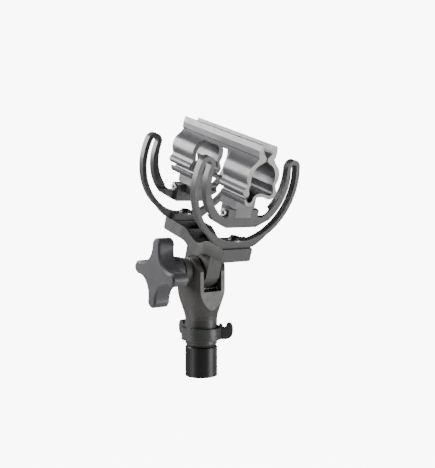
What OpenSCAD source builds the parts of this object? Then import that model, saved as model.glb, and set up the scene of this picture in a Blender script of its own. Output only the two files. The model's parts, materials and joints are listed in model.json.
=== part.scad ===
// Microphone suspension head on the tip of a boom pole.
// Millimetres, +Z up along the pole, +X along the tilt axis (knob at -X), -Y to the front.
// Origin: centre of the tube's cut lower end.

/* [Pole tip] */
// Outside diameter of the pole tube
tube_od = 23; // [18:0.5:30]
// Wall of the pole tube
tube_wall = 1.3; // [0.8:0.1:2.5]
// Length of tube that is modelled below the joint
tube_len = 21.3; // [15:0.1:200]
// Radius of the pole stud, 3/8 inch thread
stud_r = 4.76; // [4.76:0.01:4.77]
// Thickness of the joint washer
joint_t = 1.1; // [0.6:0.1:2]

/* [Knuckle] */
// Height of the tilt axis over the origin
hinge_z = 75.5; // [65:0.1:90]
// Radius of the knuckle's round neck
neck_r = 11.4; // [10:0.1:13]
// Outside width of the fork across its ears
fork_w = 25.2; // [20:0.2:30]
// Depth of the fork, front to rear
fork_d = 26.4; // [20:0.2:32]
// Width of the fork's slot
slot_w = 15.2; // [12:0.2:18]
// Radius of the clamp bolt
bolt_r = 3; // [2.5:0.1:4]
// Forward tilt of the head as stored, degrees
head_tilt = 17.3; // [0:0.2:40]

/* [Clamp knob] */
// Reach of the knob's lobes from its axis
knob_r = 24.4; // [18:0.1:28]
// Radius of each lobe's tip
lobe_r = 4.7; // [3:0.1:6]
// Thickness of the lobes
knob_t = 13.1; // [8:0.1:16]
// Turn of the lobes as stored, degrees
knob_turn = 8.8; // [-45:0.2:45]

/* [Head] */
// Length of the base bar
bar_len = 70.4; // [60:1:120]
// Width of the base bar at its ends
bar_w = 25; // [20:0.2:32]
// Offset of the head's middle behind the tilt axis
head_mid = 1; // [0:0.1:6]
// Distance between the outer faces of the two lyres
lyre_span = 66.6; // [55:0.2:100]
// Depth of the lyres' arms
lyre_depth = 4.8; // [3:0.1:7]
// Length of the microphone clip
clip_len = 85.6; // [60:0.2:120]
// Radius of the clip's bore
bore_r = 10; // [9:0.05:12.5]
// Length of the window between the two clip sections
window_len = 34.8; // [20:0.5:50]

/* [Hidden] */
$fn = 96;

tube_id = tube_od - 2*tube_wall;
knuckle_z = tube_len + joint_t + 0.1;   // underside of the knuckle
plug_z = 4;                             // underside of the tip plug
bush_r = 7.9;                           // 5/8 inch outside thread of the bushing
bush_top = 40;                          // top of the bushing
slot_floor = hinge_z - 14.3;
ear_c = hinge_z - 4.3;                  // centre of the ears' rounded tops
ear_r = 13.8;
boss_x = -20;                           // face of the left ear's boss
boss_r = 10.4;                          // at its face; it narrows to boss_root
boss_root = 8.4;
cap_x = 15;                             // face of the right ear's boss
pad_r = 11;
tongue_w = 11.6;
tongue_r = 13.2;
tongue_d = 13.9;                        // half depth of the tongue over the axis
pivot_r = 4.2;                          // outside of the pivot bush

washer_x = boss_x - 0.1;                // thrust washer, its inner face
hub_x = washer_x - 1.1;                 // knob hub, its inner face
lobe_x = -27.8;                         // inner face of the lobes
knob_x = lobe_x - knob_t;               // outer face of the knob
hub_r = 10.5;
knob_edge = 1.3;                        // chamfer round the knob's two faces

ring_in = neck_r + 0.3;
ring_out = 14.3;
ring_z0 = 26.2;
ring_z1 = 34.6;
hook_dirs = [-42, 91];

bar_z0 = 19.1;                          // head frame: heights over the tilt axis
bar_z1 = 28.2;
bar_floor = 20.6;                       // floor of the pocket and of the insert holes
pocket_y = bar_len/2 - 12;              // half length of the pocket
rib_y = 12.5;
waist_w = 23;
waist_cut_r = 90;
dip_y = -3.6;                           // middle of the wave that the bar dips in
dip_half = 16;
dip_depth = 6;

lyre_c = 73.3;                          // centre height of the lyre's arcs
out_r = 43.8;
out_in = 40.6;
in_c = 74.3;
in_r = 35.5;
leg_in_r = 31.7;
leg_in_c = 76.8;
tip_a = 16.8;                           // where the legs end, degrees over the arcs' centre
tip_c = 38.2;                           // reach of the tips' centres from the arcs' centre
base_top = 33.4;
plat_z0 = 42.9;
plat_z1 = 49.4;
post_z = 55.2;
post_in = 7;
post_out = 13;
lyre_pad = 8;                           // depth of the lyre's base and platform
lyre_y = lyre_span/2;                   // outer faces, from the head's middle
screw_y = lyre_y - lyre_pad/2;
foot_z = 52.6;                          // height of the foot bolts
foot_len = 16;

bore_z = 79.8;
clip_at = -1.9;                         // clip's middle, from the head's middle
pivot_x = -7.8;                         // pivot rod of the left jaw
pivot_z = 65.8;
rod_r = 2.2;
sec_len = (clip_len - window_len)/2;
window_top = 90.6;
window_r = 4;

// Placement helpers
module x_cyl(x0, x1, r, y = 0, z = 0) {
    translate([x0, y, z]) rotate([0, 90, 0]) cylinder(h = x1 - x0, r = r);
}
module y_cyl(y0, y1, r, x = 0, z = 0) {
    translate([x, y1, z]) rotate([90, 0, 0]) cylinder(h = y1 - y0, r = r);
}
module xz_plate(y0, y1) { translate([0, y1, 0]) rotate([90, 0, 0]) linear_extrude(y1 - y0) children(); }
module box(x0, x1, y0, y1, z0, z1) {
    translate([x0, y0, z0]) cube([x1 - x0, y1 - y0, z1 - z0]);
}
module head() { translate([0, 0, hinge_z]) rotate([head_tilt, 0, 0]) translate([0, head_mid, 0]) children(); }

// Smooth curve through a list of points
function pick(p, i) = p[max(0, min(len(p) - 1, i))];
function bend(a, b, c, d, t) = 0.5*((2*b) + (c - a)*t + (2*a - 5*b + 4*c - d)*t*t
    + (3*b - a - 3*c + d)*t*t*t);
function curve(p, n = 4) = [for (i = [0:len(p) - 2], k = [0:n - 1])
    bend(pick(p, i - 1), p[i], p[i + 1], pick(p, i + 2), k/n), p[len(p) - 1]];
function mirrored(p) = [for (i = [len(p) - 1:-1:0]) [-p[i][0], p[i][1]]];

// Pole tip
module pole_tube() color("#2b2b2d") difference() {
    union() {
        cylinder(h = tube_len - 0.6, d = tube_od);
        translate([0, 0, tube_len - 0.6]) cylinder(h = 0.6, d1 = tube_od, d2 = tube_od - 1.2);
    }
    translate([0, 0, -1]) cylinder(h = tube_len + 2, d = tube_id);
}
module tip_plug() color("#8f9194") difference() {
    translate([0, 0, plug_z]) cylinder(h = tube_len - plug_z, d = tube_id - 0.06);
    translate([0, 0, plug_z + 3]) cylinder(h = tube_len, r = stud_r + 0.03);
}
module tip_stud() color("#a9abad")
    translate([0, 0, plug_z + 3.2]) {
        cylinder(h = 26.8, r = stud_r);
        translate([0, 0, 26.8]) cylinder(h = 1, r1 = stud_r, r2 = stud_r - 1);
    }
module joint_washer() color("#161616") translate([0, 0, tube_len + 0.05]) difference() {
    cylinder(h = joint_t, r = tube_od/2 - 0.9);
    translate([0, 0, -1]) cylinder(h = joint_t + 2, r = stud_r + 0.15);
}

// Knuckle
module thread_bushing() color("#b08d4c") translate([0, 0, knuckle_z + 0.4]) difference() {
    cylinder(h = bush_top - knuckle_z - 0.4, r = bush_r);
    translate([0, 0, -1]) cylinder(h = bush_top, r = stud_r + 0.04);
}
module knuckle_fork() color("#4b4b4e") difference() {
    union() {
        intersection() {
            rotate_extrude() polygon([[0, knuckle_z], [neck_r - 0.7, knuckle_z],
                [neck_r, knuckle_z + 0.7], [neck_r, 40.5], [neck_r + 0.5, 43.5], [neck_r + 1.8, 48],
                [neck_r + 3.9, 54], [neck_r + 5.1, 58], [neck_r + 5.5, 60.5], [neck_r + 5.6, 62],
                [neck_r + 5.6, 88], [0, 88]]);
            union() {
                box(-fork_w/2, fork_w/2, -fork_d/2, fork_d/2, knuckle_z - 1, ear_c);
                intersection() {
                    x_cyl(-fork_w/2, fork_w/2, ear_r, 0, ear_c);
                    box(-fork_w/2, fork_w/2, -fork_d/2, fork_d/2, ear_c - 2, 90);
                }
            }
        }
        translate([boss_x, 0, hinge_z]) rotate([0, 90, 0])
            cylinder(h = -boss_x - fork_w/2 + 1, r1 = boss_r, r2 = boss_root);
        x_cyl(fork_w/2 - 1, cap_x, 8.4, 0, hinge_z);
    }
    box(-slot_w/2, slot_w/2, -30, 30, slot_floor, 95);
    x_cyl(-30, 30, bolt_r + 0.1, 0, hinge_z);
    translate([cap_x - 3.4, 0, hinge_z]) rotate([0, 90, 0]) cylinder(h = 9, r = 5.95, $fn = 6);
    translate([0, 0, knuckle_z - 1]) cylinder(h = bush_top - knuckle_z + 1.2, r = bush_r + 0.04);
    translate([0, 0, bush_top]) cylinder(h = 5, r = stud_r + 0.5);
}
module friction_pads() color("#1c1c1c") for (s = [-1, 1]) difference() {
    x_cyl(s < 0 ? -slot_w/2 + 0.03 : tongue_w/2 + 0.3, s < 0 ? -tongue_w/2 - 0.3 : slot_w/2 - 0.03,
        pad_r, 0, hinge_z);
    x_cyl(-10, 10, bolt_r + 0.3, 0, hinge_z);
}
module pivot_bush() color("#b08d4c") difference() {
    x_cyl(-tongue_w/2, tongue_w/2, pivot_r, 0, hinge_z);
    x_cyl(-10, 10, bolt_r + 0.06, 0, hinge_z);
}
module clamp_bolt() color("#9a9c9f") {
    x_cyl(-34, cap_x - 3.3, bolt_r, 0, hinge_z);
    translate([cap_x - 3.3, 0, hinge_z]) rotate([0, 90, 0]) cylinder(h = 3.6, r = 5.8, $fn = 6);
}
module thrust_washer() color("#8d8f92") difference() {
    x_cyl(washer_x - 1, washer_x, boss_r - 1.4, 0, hinge_z);
    x_cyl(-30, 0, bolt_r + 0.08, 0, hinge_z);
}

// Clamp knob
lobe_d = knob_r - lobe_r;
scoop_c = 25.1*knob_r/23.7;
scoop_r = 13.3*knob_r/23.7;
module x_cone(x0, x1, r0, r1, z) {
    translate([x0, 0, z]) rotate([0, 90, 0]) cylinder(h = x1 - x0, r1 = r0, r2 = r1);
}
module edged(r, z, flare, over) {
    x_cone(knob_x - over, knob_x + knob_edge, r + flare*(knob_edge + over), r, z);
    x_cyl(knob_x + knob_edge - 0.01, lobe_x - knob_edge + 0.01, r, 0, z);
    x_cone(lobe_x - knob_edge, lobe_x + over, r, r + flare*(knob_edge + over), z);
}
module clamp_knob() color("#6f6d73") difference() {
    union() {
        translate([0, 0, hinge_z]) rotate([knob_turn, 0, 0]) difference() {
            union() {
                edged(lobe_d + 0.15, 0, -1, 0);
                for (a = [0:90:270]) rotate([a, 0, 0]) edged(lobe_r, lobe_d, -1, 0);
            }
            for (a = [45:90:315]) rotate([a, 0, 0]) edged(scoop_r, scoop_c, 1, 1);
        }
        x_cyl(lobe_x - 1, hub_x, hub_r, 0, hinge_z);
    }
    x_cyl(-32, 0, 5.04, 0, hinge_z);
    x_cyl(-36, 0, bolt_r + 0.4, 0, hinge_z);
}
module knob_insert() color("#b08d4c") difference() {
    x_cyl(-31.9, hub_x - 0.2, 5, 0, hinge_z);
    x_cyl(-40, 0, bolt_r + 0.06, 0, hinge_z);
}

// Cable clip ring on the neck
hook = [[12.8, 26.3], [15.5, 26.3], [18, 26.4], [20.6, 27.3], [22.2, 29], [22.7, 31.5], [22.5, 34.5],
    [21.6, 36.7], [19.9, 37.5], [18.3, 37], [17.8, 35.5], [17.2, 34.4], [16.3, 34.1], [15.4, 34.5],
    [15, 35.7], [14.2, 36.6], [12.8, 36.6]];
module cable_hook() xz_plate(-3.3, 3.3) polygon(curve(hook, 3));
module cable_clip_ring() color("#6b6d6d") difference() {
    union() {
        translate([0, 0, ring_z0]) cylinder(h = ring_z1 - ring_z0, r = ring_out);
        for (a = hook_dirs) rotate([0, 0, a]) cable_hook();
    }
    translate([0, 0, ring_z0 - 1]) cylinder(h = 12, r = ring_in);
}

// Base bar, in the head frame: a strap of one height with a wave in it
function dip(y) = abs(y - dip_y) < dip_half ? dip_depth*(1 + cos(180*(y - dip_y)/dip_half))/2 : 0;
module wavy(half_w, half_l, z0, z1) {
    ys = concat([-half_l], [for (k = [-12:12]) dip_y + dip_half*k/12], [half_l]);
    translate([-half_w, 0, 0]) rotate([90, 0, 90]) linear_extrude(2*half_w) polygon(concat(
        [for (y = ys) [y, z0 - dip(y)]],
        [for (i = [len(ys) - 1:-1:0]) [ys[i], z1 - dip(ys[i])]]));
}
module waist(extra) for (s = [-1, 1]) translate([s*(waist_w/2 + waist_cut_r), 0, 0])
    cylinder(h = 60, r = waist_cut_r + extra);
module bar_pocket() difference() {
    wavy(bar_w/2 - 2, pocket_y, bar_floor, bar_z1 + 12);
    waist(2);
    for (s = [-1, 1]) intersection() {
        wavy(bar_w/2, pocket_y, bar_floor - 1, bar_z1 - 2.2);
        box(-bar_w/2, bar_w/2, s*rib_y - 0.9, s*rib_y + 0.9, 0, 40);
    }
}
module base_bar() color("#58585c") head() difference() {
    union() {
        difference() {
            wavy(bar_w/2, bar_len/2, bar_z0, bar_z1);
            waist(0);
        }
        x_cyl(-tongue_w/2, tongue_w/2, tongue_r, -head_mid, 0);
        box(-tongue_w/2, tongue_w/2, -tongue_d - head_mid, tongue_d - head_mid, -1.3, bar_z0 + 0.5);
    }
    bar_pocket();
    x_cyl(-20, 20, pivot_r + 0.03, -head_mid, 0);
    for (y = [-screw_y, screw_y]) translate([0, y, bar_floor]) cylinder(h = 20, r = 3.03);
}
module bar_inserts() color("#b08d4c") head() for (y = [-screw_y, screw_y])
    translate([0, y, bar_floor + 0.1]) difference() {
        cylinder(h = bar_z1 - bar_floor - 0.2, r = 3);
        translate([0, 0, -1]) cylinder(h = 20, r = 2.04);
    }

// Lyres, in the head frame; the outline is drawn in X and Z
under_side = [[60, 30], [60, 61], [post_out + 9.2, 47.2], [post_out, plat_z0]];
plat_side = [[post_out, plat_z0], [20, 48.4], [15.2, plat_z1 + 0.4]];
foot_side = [[12, bar_z1 + 0.1], [16, 29.9], [21.2, 33.8], [26, 38.4], [24.5, 40.4],
    [15, base_top]];
module above_tips(lap = 0) {
    x = 80*cos(tip_a);
    z = 80*sin(tip_a);
    polygon([[0, lyre_c - lap], [x, lyre_c + z - lap], [80, 170], [-80, 170], [-x, lyre_c + z - lap]]);
}
module lyre_outline() {
    difference() {
        translate([0, lyre_c]) circle(r = out_r);
        translate([0, lyre_c]) circle(r = out_in);
        above_tips();
    }
    polygon(concat(foot_side, mirrored(foot_side)));
    difference() {
        union() {
            difference() {
                translate([0, in_c]) circle(r = in_r);
                translate([0, leg_in_c]) circle(r = leg_in_r);
            }
            polygon(concat(plat_side, mirrored(plat_side)));
        }
        above_tips();
        polygon(concat(under_side, mirrored(under_side)));
        translate([-post_in, plat_z1]) square([2*post_in, 5]);
    }
    for (s = [-1, 1]) intersection() {
        translate([s*tip_c*cos(tip_a), lyre_c + tip_c*sin(tip_a)]) difference() {
            circle(r = out_r - tip_c);
            circle(r = out_in - tip_c);
        }
        above_tips(0.02);
    }
}
module lyre() difference() {
    union() {
        xz_plate(lyre_y - lyre_depth, lyre_y) lyre_outline();
        box(-12, 12, lyre_y - lyre_pad, lyre_y, bar_z1 + 0.1, base_top);
        box(-post_out, post_out, lyre_y - lyre_pad, lyre_y, plat_z0, plat_z1);
        for (s = [-1, 1]) box(s < 0 ? -post_out : post_in, s < 0 ? -post_in : post_out,
            lyre_y - lyre_pad, lyre_y, plat_z1 - 0.5, post_z);
    }
    translate([0, screw_y, 20]) cylinder(h = 30, r = 2.15);
    translate([0, screw_y, base_top - 0.5]) cylinder(h = 8, r = 4.6);
    x_cyl(-30, 30, 1.6, screw_y, foot_z);
    x_cyl(post_out - 1.6, 30, 2.9, screw_y, foot_z);
}
module lyre_front() color("#5d5f5f") head() mirror([0, 1, 0]) lyre();
module lyre_rear() color("#5d5f5f") head() lyre();
module lyre_screws() color("#2a2a2c") head() for (y = [-screw_y, screw_y]) translate([0, y, 0])
    difference() {
        union() {
            translate([0, 0, bar_floor + 1.2]) cylinder(h = base_top - bar_floor - 0.7, r = 2);
            translate([0, 0, base_top + 0.4]) cylinder(h = 1.6, r = 3.3);
        }
        translate([0, 0, base_top + 1]) cylinder(h = 3, r = 1.6, $fn = 6);
    }
module lyre_washers() color("#c9c9c6") head() for (y = [-screw_y, screw_y])
    translate([0, y, base_top - 0.45]) difference() {
        cylinder(h = 0.8, r = 4.5);
        translate([0, 0, -1]) cylinder(h = 3, r = 2.1);
    }

// Microphone clip, in the head frame; outlines of the right half in X and Z
flange = [[0.5, 92.8], [3.6, 96], [5.4, 101.2], [6.6, 101], [7.4, 97.4], [7.1, 93.6], [6.2, 92.4]];
wall_out = [[6.2, 92.4], [8.2, 89.8], [11.7, 86.4], [13.2, 82.6], [13.2, 78.8], [12, 75.6],
    [12.5, 73.3]];
wall_in = [[9.3, 75.4], [9.9, 78.4], [9.6, 81.8], [7.7, 85.1], [4.6, 88.2], [0.5, 91]];
right_low = [[12.5, 73.3], [14, 70.6], [13.1, 67.7], [10.4, 66], [7.3, 66], [4.6, 67], [2, 67.4],
    [-1.2, 67.3], [-3.1, 66.2], [-4.1, 64], [-5.4, 62], [-7.8, 61.2], [-10.1, 62], [-11.4, 63.9],
    [-11.6, 65.7]];
right_back = [[-10.6, 65.8], [-10.2, 65], [-8.8, 64.1], [-6.8, 64.1], [-5.5, 64.9], [-5.1, 67],
    [-3.2, 69], [0, 69.8], [4, 69.4], [7.4, 68.4], [9.7, 68.7], [10.9, 70.3], [10.4, 72.6],
    [9.3, 75.4]];
left_low = [[12.5, 73.3], [14.2, 70.8], [13.4, 68.8], [11.4, 67.6], [9.7, 67.8], [9, 69.4],
    [10, 72.5], [9.3, 75.4]];
module right_outline() polygon(concat(flange, curve(wall_out), curve(right_low), curve(right_back),
    curve(wall_in)));
module left_outline() polygon(mirrored(concat(flange, curve(wall_out), curve(left_low),
    curve(wall_in))));
module window() {
    for (s = [-1, 1]) x_cyl(-30, 30, window_r, s*(window_len/2 - window_r), window_top - window_r);
    box(-30, 30, -window_len/2, window_len/2, 40, window_top - window_r);
    box(-30, 30, -window_len/2 + window_r, window_len/2 - window_r, 40, window_top);
}
module bore() y_cyl(-60, 60, bore_r, 0, bore_z);
module clip_base() color("#8b8c90") head() {
    translate([0, clip_at, 0]) difference() {
        xz_plate(-clip_len/2, clip_len/2) right_outline();
        window();
        bore();
        y_cyl(-60, 60, rod_r + 0.08, pivot_x, pivot_z);
    }
    box(-3, 3, clip_at - window_len/2 - 1, clip_at + window_len/2 + 1, 67.5, 69.3);
    for (s = [-1, 1]) difference() {
        union() {
            foot_box(s, 8.3, post_z + 0.7, 65.6);
            foot_box(s, post_in - 0.2, plat_z1 + 0.15, 65.6);
            foot_box(s, 5.2, 63, 68.2);
        }
        x_cyl(-30, 30, 1.6, s*screw_y, foot_z);
        y_cyl(-60, 60, 4.4, pivot_x, pivot_z);
    }
}
module foot_box(s, w, z0, z1) box(-w, w, s < 0 ? -lyre_y : lyre_y - foot_len,
    s < 0 ? -lyre_y + foot_len : lyre_y, z0, z1);
module jaw_left() color("#9a9ba0") head() translate([0, clip_at, 0]) {
    difference() {
        xz_plate(-clip_len/2, clip_len/2) left_outline();
        window();
        bore();
    }
    for (s = [-1, 1]) {
        y0 = s < 0 ? -clip_len/2 + 3 : clip_len/2 - sec_len;
        y1 = s < 0 ? -clip_len/2 + sec_len : clip_len/2 - 3;
        y_cyl(y0, y1, rod_r, pivot_x, pivot_z);
        xz_plate(y0, y1) polygon([[pivot_x - 1.3, pivot_z], [pivot_x + 0.6, pivot_z],
            [pivot_x + 0.3, 68.3], [pivot_x - 2.4, 68.7]]);
    }
}
module foot_bolts() color("#c2c3c4") head() for (y = [-screw_y, screw_y]) {
    x_cyl(-post_out - 0.1, post_out + 0.4, 1.5, y, foot_z);
    difference() {
        x_cyl(-post_out - 1.7, -post_out - 0.05, 2.6, y, foot_z);
        translate([-post_out - 2.7, y, foot_z]) rotate([0, 90, 0]) cylinder(h = 2, r = 1.3, $fn = 6);
    }
}
module foot_nuts() color("#c2c3c4") head() for (y = [-screw_y, screw_y]) difference() {
    translate([post_out - 1.5, y, foot_z]) rotate([0, 90, 0]) cylinder(h = 2, r = 2.8, $fn = 6);
    x_cyl(0, 30, 1.53, y, foot_z);
}

pole_tube();
tip_plug();
tip_stud();
joint_washer();
thread_bushing();
knuckle_fork();
friction_pads();
pivot_bush();
clamp_bolt();
thrust_washer();
clamp_knob();
knob_insert();
cable_clip_ring();
base_bar();
bar_inserts();
lyre_front();
lyre_rear();
lyre_screws();
lyre_washers();
clip_base();
jaw_left();
foot_bolts();
foot_nuts();
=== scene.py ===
"""Looks for the microphone suspension head on the tip of a boom pole."""

import json
import math

import bpy
import numpy as np
from mathutils import Matrix, Vector


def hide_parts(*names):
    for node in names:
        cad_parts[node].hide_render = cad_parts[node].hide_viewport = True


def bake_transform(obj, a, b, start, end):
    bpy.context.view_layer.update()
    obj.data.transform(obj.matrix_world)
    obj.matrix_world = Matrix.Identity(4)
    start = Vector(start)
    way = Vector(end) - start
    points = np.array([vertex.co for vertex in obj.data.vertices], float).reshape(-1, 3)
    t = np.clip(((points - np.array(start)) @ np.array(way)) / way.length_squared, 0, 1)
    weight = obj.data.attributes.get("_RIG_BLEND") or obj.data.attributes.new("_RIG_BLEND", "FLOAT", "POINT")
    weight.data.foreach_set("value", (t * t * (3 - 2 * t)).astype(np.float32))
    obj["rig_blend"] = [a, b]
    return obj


MM = 0.001
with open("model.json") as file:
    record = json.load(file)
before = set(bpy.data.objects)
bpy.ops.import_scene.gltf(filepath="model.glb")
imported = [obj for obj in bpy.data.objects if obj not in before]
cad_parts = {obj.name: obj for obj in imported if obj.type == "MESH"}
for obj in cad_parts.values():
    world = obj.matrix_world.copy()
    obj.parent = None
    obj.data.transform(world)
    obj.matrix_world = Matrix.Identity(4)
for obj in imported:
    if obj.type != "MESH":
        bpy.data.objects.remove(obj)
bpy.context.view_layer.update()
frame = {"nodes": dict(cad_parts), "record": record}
nodes = frame["nodes"]
scene = bpy.context.scene

HINGE = Vector((0, 0, 75.5 * MM))  # tilt axis
CLIP_LEN = 85.6
CLIP_AT = -1.9  # the clip's middle along the head, mm
TILT = math.radians(17.3)  # the head's tilt as stored
HEAD_SHIFT = 1  # the head's origin from the tilt axis along the head, mm
HEAD = (Matrix.Translation(HINGE) @ Matrix.Rotation(TILT, 4, "X")
        @ Matrix.Translation((0, HEAD_SHIFT * MM, 0)))


# Camera
def aim(obj, place, target):
    """Puts an object at a place and points its -Z axis at the target."""
    obj.location = place
    obj.rotation_mode = "QUATERNION"
    obj.rotation_quaternion = (Vector(target) - Vector(place)).to_track_quat("-Z", "Y")


def from_angles(azimuth, elevation, distance, target):
    """A place at a distance from the target; azimuth 0 is in front, 90 on the right."""
    a, e = math.radians(azimuth), math.radians(elevation)
    back = Vector((math.sin(a) * math.cos(e), -math.cos(a) * math.cos(e), math.sin(e)))
    return Vector(target) + back * distance


camera = bpy.data.objects.new("camera", bpy.data.cameras.new("camera"))
scene.collection.objects.link(camera)
camera.data.lens = 54.17
camera.data.sensor_width = 36.0
look_at = Vector((0, -0.0187, 0.1017))
aim(camera, from_angles(-38.48, 2.87, 0.4858, look_at), look_at)
scene.camera = camera


# Materials
NOISE_LOW, NOISE_HIGH = 0.3, 0.7  # the part of a noise's range that is spread out
PALE_END_FROM, PALE_END_FULL = 0.45, 0.15  # depth from the clip's ends where its paler colour starts and is full, mm
PALE_END_COLOR = (0.3, 0.292, 0.272)
HIGHLIGHT_FROM, HIGHLIGHT_FULL = 0.99, 0.8  # cosine between rounded and plain normal, for the painted highlight along the edges


def shader(name, color, roughness, metallic=0.0, specular=0.5):
    """A principled material, its node tree, its shader node and object coordinates."""
    mat = bpy.data.materials.new(name)
    mat.use_nodes = True
    tree = mat.node_tree
    bsdf = tree.nodes["Principled BSDF"]
    bsdf.inputs["Base Color"].default_value = (*color, 1)
    bsdf.inputs["Roughness"].default_value = roughness
    bsdf.inputs["Metallic"].default_value = metallic
    bsdf.inputs["Specular IOR Level"].default_value = specular
    coords = tree.nodes.new("ShaderNodeTexCoord")
    return mat, tree, bsdf, coords.outputs["Object"]


def noise(tree, vector, scale, detail=3.0, rough=0.55, stretch=(1, 1, 1)):
    mapping = tree.nodes.new("ShaderNodeMapping")
    mapping.inputs["Scale"].default_value = stretch
    tree.links.new(vector, mapping.inputs["Vector"])
    tex = tree.nodes.new("ShaderNodeTexNoise")
    tex.inputs["Scale"].default_value = scale
    tex.inputs["Detail"].default_value = detail
    tex.inputs["Roughness"].default_value = rough
    tree.links.new(mapping.outputs["Vector"], tex.inputs["Vector"])
    return tex.outputs["Fac"]


def between(tree, value, low, high):
    """A value from a noise, spread from low to high."""
    span = tree.nodes.new("ShaderNodeMapRange")
    span.inputs["From Min"].default_value = NOISE_LOW
    span.inputs["From Max"].default_value = NOISE_HIGH
    span.inputs["To Min"].default_value = low
    span.inputs["To Max"].default_value = high
    tree.links.new(value, span.inputs["Value"])
    return span.outputs["Result"]


def two_tone(tree, value, dark, light):
    """A color between two, chosen by a noise."""
    ramp = tree.nodes.new("ShaderNodeValToRGB")
    ramp.color_ramp.elements[0].position = NOISE_LOW
    ramp.color_ramp.elements[1].position = NOISE_HIGH
    ramp.color_ramp.elements[0].color = (*dark, 1)
    ramp.color_ramp.elements[1].color = (*light, 1)
    tree.links.new(value, ramp.inputs["Fac"])
    return ramp.outputs["Color"]


def bump(tree, bsdf, height, strength, distance):
    node = tree.nodes.new("ShaderNodeBump")
    node.inputs["Strength"].default_value = strength
    node.inputs["Distance"].default_value = distance
    tree.links.new(height, node.inputs["Height"])
    tree.links.new(node.outputs["Normal"], bsdf.inputs["Normal"])


def plastic(name, color, roughness, grain=0.25, mottle=0.12):
    """Moulded plastic with fine spark grain, slow flow marks and a little handling shine."""
    mat, tree, bsdf, at = shader(name, color, roughness, specular=0.55)
    flow = noise(tree, at, scale=55.0, detail=4.0)
    dark = [c * (1 - mottle) for c in color]
    light = [c * (1 + mottle) for c in color]
    tree.links.new(two_tone(tree, flow, dark, light), bsdf.inputs["Base Color"])
    shine = noise(tree, at, scale=160.0)
    tree.links.new(between(tree, shine, roughness * 0.85, roughness * 1.15),
                   bsdf.inputs["Roughness"])
    bump(tree, bsdf, noise(tree, at, scale=2600.0, detail=2.0), grain, distance=0.04 * MM)
    return mat


def metal(name, color, roughness, stretch=(1, 1, 1), metallic=1.0):
    """Turned or drawn metal with fine tool lines."""
    mat, tree, bsdf, at = shader(name, color, roughness, metallic)
    lines = noise(tree, at, scale=900.0, detail=2.0, rough=0.5, stretch=stretch)
    tree.links.new(between(tree, lines, roughness * 0.85, roughness * 1.2),
                   bsdf.inputs["Roughness"])
    stain = noise(tree, at, scale=120.0)
    tree.links.new(two_tone(tree, stain, [c * 0.9 for c in color], color),
                   bsdf.inputs["Base Color"])
    bump(tree, bsdf, lines, strength=0.08, distance=0.02 * MM)
    return mat


def clip_polymer(name, color, roughness):
    """The clip's satin polymer, drawn along its length, paler towards its two ends."""
    mat = plastic(name, color, roughness, grain=0.12, mottle=0.05)
    tree = mat.node_tree
    bsdf = tree.nodes["Principled BSDF"]
    bsdf.inputs["Metallic"].default_value = 0.3
    surface = bsdf.inputs["Base Color"].links[0].from_socket
    place = tree.nodes.new("ShaderNodeTexCoord").outputs["Object"]
    forward = HEAD.to_3x3() @ Vector((0, 1, 0))
    along = tree.nodes.new("ShaderNodeVectorMath")
    along.operation = "DOT_PRODUCT"
    along.inputs[1].default_value = forward
    tree.links.new(place, along.inputs[0])
    middle = HEAD @ Vector((0, CLIP_AT * MM, 0))
    offset = tree.nodes.new("ShaderNodeMath")
    offset.operation = "SUBTRACT"
    offset.inputs[1].default_value = middle.dot(forward)
    tree.links.new(along.outputs["Value"], offset.inputs[0])
    reach = tree.nodes.new("ShaderNodeMath")
    reach.operation = "ABSOLUTE"
    tree.links.new(offset.outputs[0], reach.inputs[0])
    pale_end = tree.nodes.new("ShaderNodeMapRange")
    pale_end.inputs["From Min"].default_value = (CLIP_LEN / 2 - PALE_END_FROM) * MM
    pale_end.inputs["From Max"].default_value = (CLIP_LEN / 2 - PALE_END_FULL) * MM
    tree.links.new(reach.outputs[0], pale_end.inputs["Value"])
    # the clip turns paler within a fraction of a millimetre of each end
    mix = tree.nodes.new("ShaderNodeMix")
    mix.data_type = "RGBA"
    tree.links.new(pale_end.outputs["Result"], mix.inputs["Factor"])
    tree.links.new(surface, mix.inputs["A"])
    mix.inputs["B"].default_value = (*PALE_END_COLOR, 1)
    tree.links.new(mix.outputs["Result"], bsdf.inputs["Base Color"])
    return mat


def round_edges_paint_highlight(mat, radius, highlight_color):
    """Rounds the shading of a material's sharp edges and paints a paler highlight along them."""
    tree = mat.node_tree
    bsdf = tree.nodes["Principled BSDF"]
    edge = tree.nodes.new("ShaderNodeBevel")
    edge.samples = 8
    edge.inputs["Radius"].default_value = radius * MM
    plain = tree.nodes.new("ShaderNodeNewGeometry").outputs["Normal"]
    turn = tree.nodes.new("ShaderNodeVectorMath")
    turn.operation = "DOT_PRODUCT"
    tree.links.new(edge.outputs["Normal"], turn.inputs[0])
    tree.links.new(plain, turn.inputs[1])
    painted_highlight = tree.nodes.new("ShaderNodeMapRange")
    painted_highlight.inputs["From Min"].default_value = HIGHLIGHT_FROM
    painted_highlight.inputs["From Max"].default_value = HIGHLIGHT_FULL
    tree.links.new(turn.outputs["Value"], painted_highlight.inputs["Value"])
    # paints the edges paler: a painted highlight along the rounded edges
    mix = tree.nodes.new("ShaderNodeMix")
    mix.data_type = "RGBA"
    tree.links.new(painted_highlight.outputs["Result"], mix.inputs["Factor"])
    tree.links.new(bsdf.inputs["Base Color"].links[0].from_socket, mix.inputs["A"])
    mix.inputs["B"].default_value = (*highlight_color, 1)
    tree.links.new(mix.outputs["Result"], bsdf.inputs["Base Color"])
    grain = bsdf.inputs["Normal"].links[0].from_node
    tree.links.new(edge.outputs["Normal"], grain.inputs["Normal"])


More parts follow.
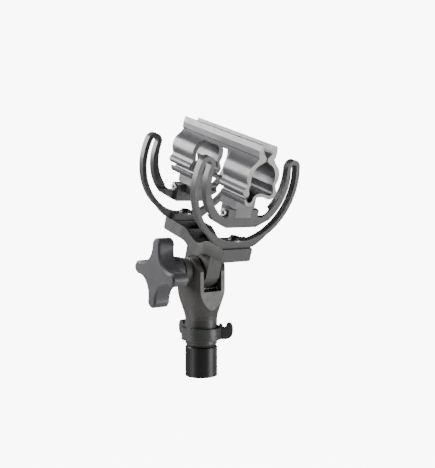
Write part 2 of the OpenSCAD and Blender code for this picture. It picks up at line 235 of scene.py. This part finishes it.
LOOKS = {
    "anodised_tube": lambda n: metal(n, (0.05, 0.052, 0.05), 0.36, (1, 1, 0.02), 0.7),
    "plug_alloy": lambda n: metal(n, (0.62, 0.63, 0.64), 0.35),
    "steel": lambda n: metal(n, (0.62, 0.62, 0.63), 0.3),
    "black_rubber": lambda n: plastic(n, (0.012, 0.012, 0.012), 0.7, 0.4),
    "brass": lambda n: metal(n, (0.75, 0.56, 0.26), 0.3),
    "knuckle_plastic": lambda n: plastic(n, (0.088, 0.083, 0.079), 0.4),
    "friction_disc": lambda n: plastic(n, (0.02, 0.02, 0.02), 0.75, 0.5),
    "knob_plastic": lambda n: plastic(n, (0.104, 0.102, 0.113), 0.42),
    "ring_plastic": lambda n: plastic(n, (0.078, 0.082, 0.08), 0.4),
    "bar_plastic": lambda n: plastic(n, (0.1, 0.098, 0.096), 0.4),
    "lyre_polymer": lambda n: plastic(n, (0.088, 0.089, 0.087), 0.38, 0.15),
    "black_steel": lambda n: metal(n, (0.05, 0.05, 0.052), 0.35),
    "bright_steel": lambda n: metal(n, (0.85, 0.84, 0.83), 0.2),
    "clip_plastic": lambda n: clip_polymer(n, (0.15, 0.15, 0.158), 0.35),
}
materials = {name: make(name) for name, make in LOOKS.items()}
EDGE_ROUNDING_AND_PAINTED_HIGHLIGHT = {  # radius of the rounded edges in mm and the paler color of the highlight painted along them, by slot
    "knuckle_plastic": (0.45, (0.13, 0.125, 0.119)),
    "knob_plastic": (0.45, (0.17, 0.166, 0.178)),
    "ring_plastic": (0.35, (0.15, 0.155, 0.152)),
    "bar_plastic": (0.4, (0.19, 0.187, 0.184)),
    "lyre_polymer": (0.4, (0.26, 0.262, 0.256)),
    "black_steel": (0.2, (0.16, 0.16, 0.16)),
}
# each of these materials gets rounded edge shading and a painted highlight along its edges
for slot, (radius, highlight_color) in EDGE_ROUNDING_AND_PAINTED_HIGHLIGHT.items():
    round_edges_paint_highlight(materials[slot], radius, highlight_color)


# CAD pieces: finish and smooth shading
def smooth(obj):
    """Shades an object smooth, its flat faces kept flat."""
    for polygon in obj.data.polygons:
        polygon.use_smooth = True
    normals = obj.modifiers.new("normals", "WEIGHTED_NORMAL")
    normals.keep_sharp = False
    normals.weight = 80


slots = {row["node"]: row["material_slot"] for row in frame["record"]["subparts"]}
for name, obj in nodes.items():
    obj.data.materials.clear()
    obj.data.materials.append(materials[slots[name]])
    smooth(obj)


# Lyres: each bends between the bar it stands on and the clip it carries
ARCS = 73.3  # height of the arcs' centre in the head frame, mm
MIDDLE = 38.2  # between the outer and the inner leg, mm from the arcs' centre
LEG_REACH = 2.9  # from there to the middle of a leg, mm
ARC_START, ARC_SPAN = math.radians(80), math.radians(100)  # from the bottom up to the tip
LYRE_BASE, LYRE_TOP = 30, 90  # heights in the head frame between which the blend runs, mm


def lyre_share(x, z):
    """How far a point of a lyre follows the clip: 0 at its base, 1 at its platform."""
    angle = math.atan2(z - ARCS, abs(x))
    run = min(max((angle + ARC_START) / ARC_SPAN, 0), 1)
    reach = math.hypot(x, z - ARCS)
    inner = min(max((reach - (MIDDLE + LEG_REACH)) / (-2 * LEG_REACH), 0), 1)
    return 0.5 * run * (1 - inner) + (1 - 0.5 * run) * inner


def lyre(name):
    """Replaces a lyre with a copy that bends as the cradle moves on it."""
    mesh = nodes[name].data.copy()
    obj = bpy.data.objects.new(name + "_spring", mesh)
    scene.collection.objects.link(obj)
    smooth(obj)
    base = HEAD @ Vector((0, 0, LYRE_BASE * MM))
    top = HEAD @ Vector((0, 0, LYRE_TOP * MM))
    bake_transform(obj, "head", "cradle", start=base, end=top)
    back = HEAD.inverted()
    share = [lyre_share(*(back @ v.co / MM).xz) for v in mesh.vertices]
    mesh.attributes["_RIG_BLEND"].data.foreach_set("value", np.array(share, np.float32))
    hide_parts(name)


lyre("lyre_front")
lyre("lyre_rear")


# Floor and light
BACKDROP_SEEN = 9.0  # strength of floor and world as the camera sees them
FLOOR_LIT, WORLD_LIT = 0.15, 0.03  # their strength as they light the object


def panel(name, place, target, size, power):
    """A soft rectangular light."""
    light = bpy.data.lights.new(name, "AREA")
    light.shape = "RECTANGLE"
    light.size, light.size_y = size
    light.energy = power
    obj = bpy.data.objects.new(name, light)
    scene.collection.objects.link(obj)
    aim(obj, place, target)


def lit_and_seen(tree, lit, seen):
    """A strength that lights the object with one value and shows as another."""
    path = tree.nodes.new("ShaderNodeLightPath")
    span = tree.nodes.new("ShaderNodeMapRange")
    span.inputs["To Min"].default_value = lit
    span.inputs["To Max"].default_value = seen
    tree.links.new(path.outputs["Is Camera Ray"], span.inputs["Value"])
    return span.outputs["Result"]


def floor():
    bpy.ops.mesh.primitive_plane_add(size=9, location=(0, 0, -0.5))
    plane = bpy.context.object
    plane.name = "floor"
    mat, tree, bsdf, at = shader("floor", (0.85, 0.85, 0.85), 0.8)
    shade = two_tone(tree, noise(tree, at, scale=6.0), (0.84, 0.84, 0.84), (0.87, 0.87, 0.87))
    tree.links.new(shade, bsdf.inputs["Base Color"])
    bsdf.inputs["Emission Color"].default_value = (1, 1, 1, 1)
    tree.links.new(lit_and_seen(tree, FLOOR_LIT, BACKDROP_SEEN), bsdf.inputs["Emission Strength"])
    plane.data.materials.append(mat)


floor()
centre = Vector((0, 0, 0.11))
panel("left", from_angles(-140, 25, 0.8, centre), centre, (0.4, 0.5), 10)
panel("low_left", from_angles(-105, -30, 0.9, centre), centre, (0.5, 0.5), 1.6)
panel("front_right", from_angles(36, -8, 0.9, centre), centre, (0.35, 0.6), 4.8)
panel("right", from_angles(88, 5, 1.0, centre), centre, (0.2, 0.8), 2)
panel("top", from_angles(-100, 65, 1.0, centre), centre, (0.3, 0.3), 2.5)
world = bpy.data.worlds.new("studio")
world.use_nodes = True
backdrop = world.node_tree.nodes["Background"]
backdrop.inputs["Color"].default_value = (1, 1, 1, 1)
strength = lit_and_seen(world.node_tree, WORLD_LIT, BACKDROP_SEEN)
world.node_tree.links.new(strength, backdrop.inputs["Strength"])
scene.world = world
